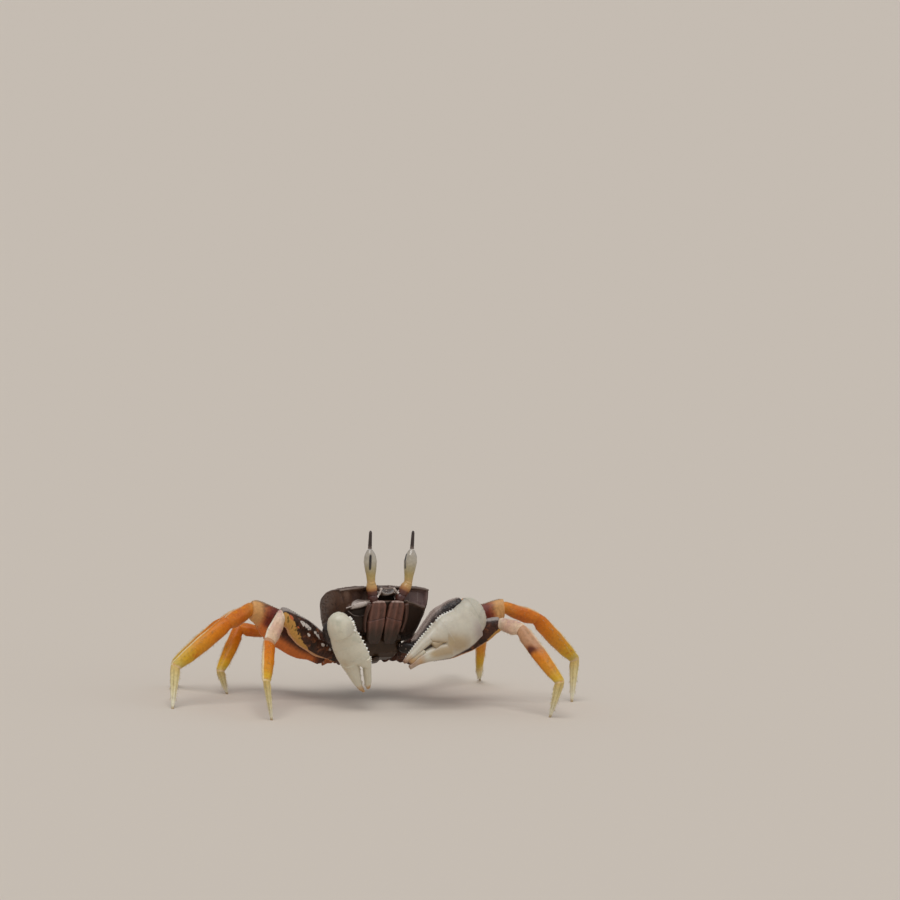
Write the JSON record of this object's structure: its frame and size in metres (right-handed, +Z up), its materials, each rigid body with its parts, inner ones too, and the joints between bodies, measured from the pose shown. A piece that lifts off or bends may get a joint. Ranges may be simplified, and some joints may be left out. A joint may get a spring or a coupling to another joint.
{
  "type": "ghost crab model",
  "caption": "Life-size still model of a horned ghost crab standing raised on its walking legs, claws folded in front and horned eyes upright",
  "frame": {"origin": "middle of the bounding box's footprint, on the floor under the feet", "axes": "+X to the crab's left, across its leg span; +Y towards its rear; +Z up"},
  "size_m": [0.1722, 0.1004, 0.0682],
  "materials": {
    "shell": "smooth, finely granular dark shell, semi-gloss",
    "underside": "smooth pale-rimmed plates, satin",
    "mouth": "ribbed mouth plates, satin",
    "merus": "mottled brown, finely granular, semi-gloss",
    "carpus": "orange, semi-gloss",
    "propodus": "orange to yellow, semi-gloss",
    "dactylus": "pale ribbed horn, satin",
    "claw": "creamy white, granular, semi-gloss",
    "claw_arm": "purple-grey, granular, semi-gloss",
    "stalk": "tan, smooth, semi-gloss",
    "cornea": "pale, smooth, glossy",
    "horn": "dark brown, smooth, semi-gloss"
  },
  "bodies": {
    "root": {"carapace": "shell", "sternum": "underside", "abdomen": "underside", "maxilliped_left": "mouth", "eyestalk_left": "stalk", "cornea_left": "cornea", "horn_left": "horn", "maxilliped_right": "mouth", "eyestalk_right": "stalk", "cornea_right": "cornea", "horn_right": "horn", "left_leg2_merus": "merus", "left_leg2_carpus": "carpus", "left_leg2_propodus": "propodus", "left_leg2_dactylus": "dactylus", "left_leg3_merus": "merus", "left_leg3_carpus": "carpus", "left_leg3_propodus": "propodus", "left_leg3_dactylus": "dactylus", "left_leg4_merus": "merus", "left_leg4_carpus": "carpus", "left_leg4_propodus": "propodus", "left_leg4_dactylus": "dactylus", "left_leg5_merus": "merus", "left_leg5_carpus": "carpus", "left_leg5_propodus": "propodus", "left_leg5_dactylus": "dactylus", "right_leg2_merus": "merus", "right_leg2_carpus": "carpus", "right_leg2_propodus": "propodus", "right_leg2_dactylus": "dactylus", "right_leg3_merus": "merus", "right_leg3_carpus": "carpus", "right_leg3_propodus": "propodus", "right_leg3_dactylus": "dactylus", "right_leg4_merus": "merus", "right_leg4_carpus": "carpus", "right_leg4_propodus": "propodus", "right_leg4_dactylus": "dactylus", "right_leg5_merus": "merus", "right_leg5_carpus": "carpus", "right_leg5_propodus": "propodus", "right_leg5_dactylus": "dactylus", "left_claw_arm": "claw_arm", "left_claw_carpus": "claw", "left_claw_hand": "claw", "left_claw_finger": "claw", "right_claw_arm": "claw_arm", "right_claw_carpus": "claw", "right_claw_hand": "claw", "right_claw_finger": "claw"}
  },
  "joints": []
}
